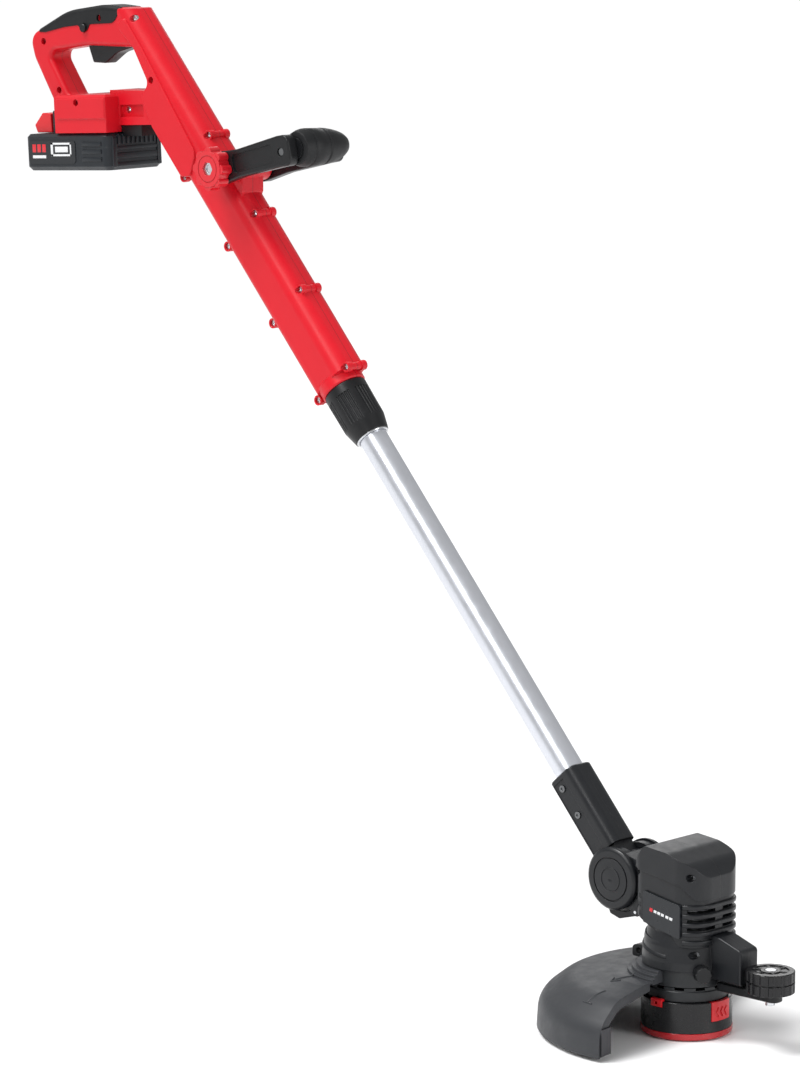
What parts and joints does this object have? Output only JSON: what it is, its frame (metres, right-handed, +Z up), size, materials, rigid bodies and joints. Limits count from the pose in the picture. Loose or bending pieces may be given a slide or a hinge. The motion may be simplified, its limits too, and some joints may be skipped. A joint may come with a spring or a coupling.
{
  "type": "lawn edger",
  "caption": "Cordless line trimmer and lawn edger: battery handle, telescopic tube, tilting motor head with half-round guard, guide wheel and line spool.",
  "frame": {"origin": "centre of the bump cap's foot, on the ground, under the spool's axis", "axes": "+Z up along the spool's axis, +X forward towards the guide wheel, handle leaning back towards -X, Y across the tool"},
  "size_m": [0.995, 0.2621, 0.8998],
  "materials": {
    "red_shell": "satin",
    "red_trim": "satin",
    "red_cap": "gloss",
    "soft_black": "satin",
    "black_plastic": "satin",
    "head_plastic": "satin",
    "hub_plastic": "satin",
    "cup_plastic": "satin",
    "guard_plastic": "satin",
    "pack_plastic": "satin",
    "label": "satin",
    "board": "satin",
    "tube_metal": "satin anodised",
    "cell_metal": "plain",
    "motor_steel": "plain",
    "blade_steel": "dark",
    "screw_steel": "bright zinc",
    "contact_brass": "bright",
    "line_nylon": "clear"
  },
  "bodies": {
    "handle": {"handle_shell_right": "red_shell", "handle_shell_left": "red_shell", "grip_overmold": "soft_black", "handle_screws": "screw_steel", "main_switch": "black_plastic", "trigger_spring": "screw_steel", "trigger_pin": "screw_steel", "dock_terminal_block": "black_plastic", "dock_contact_blades": "contact_brass", "tube_collet": "black_plastic", "aux_handle_bolt": "screw_steel"},
    "trigger": {"trigger": "black_plastic"},
    "lock_off_button": {"lock_off_button": "black_plastic"},
    "twist_collar": {"twist_collar": "black_plastic"},
    "shaft_lock_button": {"shaft_lock_button": "black_plastic"},
    "front_handle": {"aux_handle_frame": "black_plastic", "aux_handle_grip": "soft_black", "aux_handle_screws": "screw_steel"},
    "front_knob": {"aux_knob": "red_shell", "aux_knob_nut": "screw_steel"},
    "battery": {"battery_case_lower": "pack_plastic", "battery_case_upper": "pack_plastic", "battery_cells": "cell_metal", "battery_board": "board", "battery_terminals": "contact_brass", "battery_labels": "label"},
    "battery_button": {"battery_release_button": "red_trim"},
    "guide_bush": {"guide_bush": "black_plastic"},
    "shaft": {"shaft_tube": "tube_metal", "sleeve_right": "head_plastic", "sleeve_left": "head_plastic", "sleeve_screws": "screw_steel"},
    "head": {"pivot_bolt": "screw_steel", "motor_housing_right": "head_plastic", "motor_housing_left": "head_plastic", "pivot_disc_right": "head_plastic", "pivot_disc_left": "head_plastic", "motor_label": "label", "motor_stator": "motor_steel", "rotor_bearings": "screw_steel", "bearing_plate": "hub_plastic", "head_screws": "screw_steel", "guard": "guard_plastic", "line_cutter": "blade_steel", "wheel_arm": "black_plastic", "wheel_axle": "screw_steel", "wheel_clamp_knob": "black_plastic"},
    "pivot_pedal": {"pivot_pedal": "black_plastic"},
    "guide_wheel": {"guide_wheel": "black_plastic"},
    "spool": {"rotor_shaft": "motor_steel", "spool_hub": "hub_plastic", "spool_cup": "cup_plastic", "cup_ring": "red_cap", "line_eyelets": "red_trim", "reel_spring": "screw_steel"},
    "latch_front": {"latch_front": "red_trim"},
    "latch_rear": {"latch_rear": "red_trim"},
    "bump_cap": {"line_reel": "cup_plastic", "line_winding": "line_nylon", "bump_cap": "red_cap"}
  },
  "joints": [
    {"name": "trigger_pull", "type": "hinge", "parent": "handle", "child": "trigger", "pos_m": [-0.735, 0, 0.8665], "axis": [0, 1, 0], "range_deg": [0, 4.5], "stiffness_Nm_per_rad": 0.6, "springref_deg": -6.88, "deforming": ["trigger_spring"]},
    {"name": "lock_off_push", "type": "slide", "parent": "handle", "child": "lock_off_button", "axis": [0, 1, 0], "range_m": [0, 0.003], "stiffness_N_per_m": 300, "springref_m": -0.003},
    {"name": "collar_turn", "type": "hinge", "parent": "handle", "child": "twist_collar", "pos_m": [-0.069, 0, 0.133], "axis": [-0.6691, 0, 0.7431], "range_deg": [0, 60]},
    {"name": "shaft_lock_push", "type": "slide", "parent": "handle", "child": "shaft_lock_button", "axis": [0.7431, 0, 0.6691], "range_m": [0, 0.0012], "stiffness_N_per_m": 600, "springref_m": -0.002},
    {"name": "front_handle_tilt", "type": "hinge", "parent": "handle", "child": "front_handle", "pos_m": [-0.57623, 0, 0.75012], "axis": [0, 1, 0], "range_deg": [-60, 25]},
    {"name": "front_knob_turn", "type": "hinge", "parent": "handle", "child": "front_knob", "pos_m": [-0.57623, -0.044, 0.75012], "axis": [0, 1, 0], "continuous": true},
    {"name": "battery_slide", "type": "slide", "parent": "handle", "child": "battery", "axis": [-0.9981, 0, -0.0611], "range_m": [0, 0.12]},
    {"name": "battery_button_push", "type": "slide", "parent": "battery", "child": "battery_button", "axis": [0.9981, 0, 0.0611], "range_m": [0, 0.0025], "stiffness_N_per_m": 400, "springref_m": -0.003},
    {"name": "shaft_telescope", "type": "slide", "parent": "handle", "child": "guide_bush", "axis": [-0.6691, 0, 0.7431], "range_m": [0, 0.19]},
    {"name": "shaft_turn", "type": "hinge", "parent": "guide_bush", "child": "shaft", "pos_m": [-0.069, 0, 0.133], "axis": [-0.6691, 0, 0.7431], "range_deg": [0, 180]},
    {"name": "head_tilt", "type": "hinge", "parent": "shaft", "child": "head", "pos_m": [-0.069, 0, 0.133], "axis": [0, 1, 0], "range_deg": [-30, 30]},
    {"name": "pedal_press", "type": "hinge", "parent": "head", "child": "pivot_pedal", "pos_m": [-0.0465, 0, 0.1045], "axis": [0, 1, 0], "range_deg": [0, 4], "stiffness_Nm_per_rad": 0.5, "springref_deg": -8.59},
    {"name": "guide_wheel_spin", "type": "hinge", "parent": "head", "child": "guide_wheel", "pos_m": [0.098, 0, 0.065], "axis": [0, 0, 1], "continuous": true},
    {"name": "spool_spin", "type": "hinge", "parent": "head", "child": "spool", "pos_m": [0, 0, 0.04], "axis": [0, 0, 1], "continuous": true},
    {"name": "bump_cap_press", "type": "slide", "parent": "spool", "child": "bump_cap", "axis": [0, 0, 1], "range_m": [0, 0.003], "stiffness_N_per_m": 1500, "springref_m": -0.006, "deforming": ["reel_spring"]},
    {"name": "latch_front_squeeze", "type": "slide", "parent": "spool", "child": "latch_front", "axis": [-1, 0, 0], "range_m": [0, 0.002], "stiffness_N_per_m": 800, "springref_m": -0.002},
    {"name": "latch_rear_squeeze", "type": "slide", "parent": "spool", "child": "latch_rear", "axis": [1, 0, 0], "range_m": [0, 0.002], "stiffness_N_per_m": 800, "springref_m": -0.002}
  ]
}
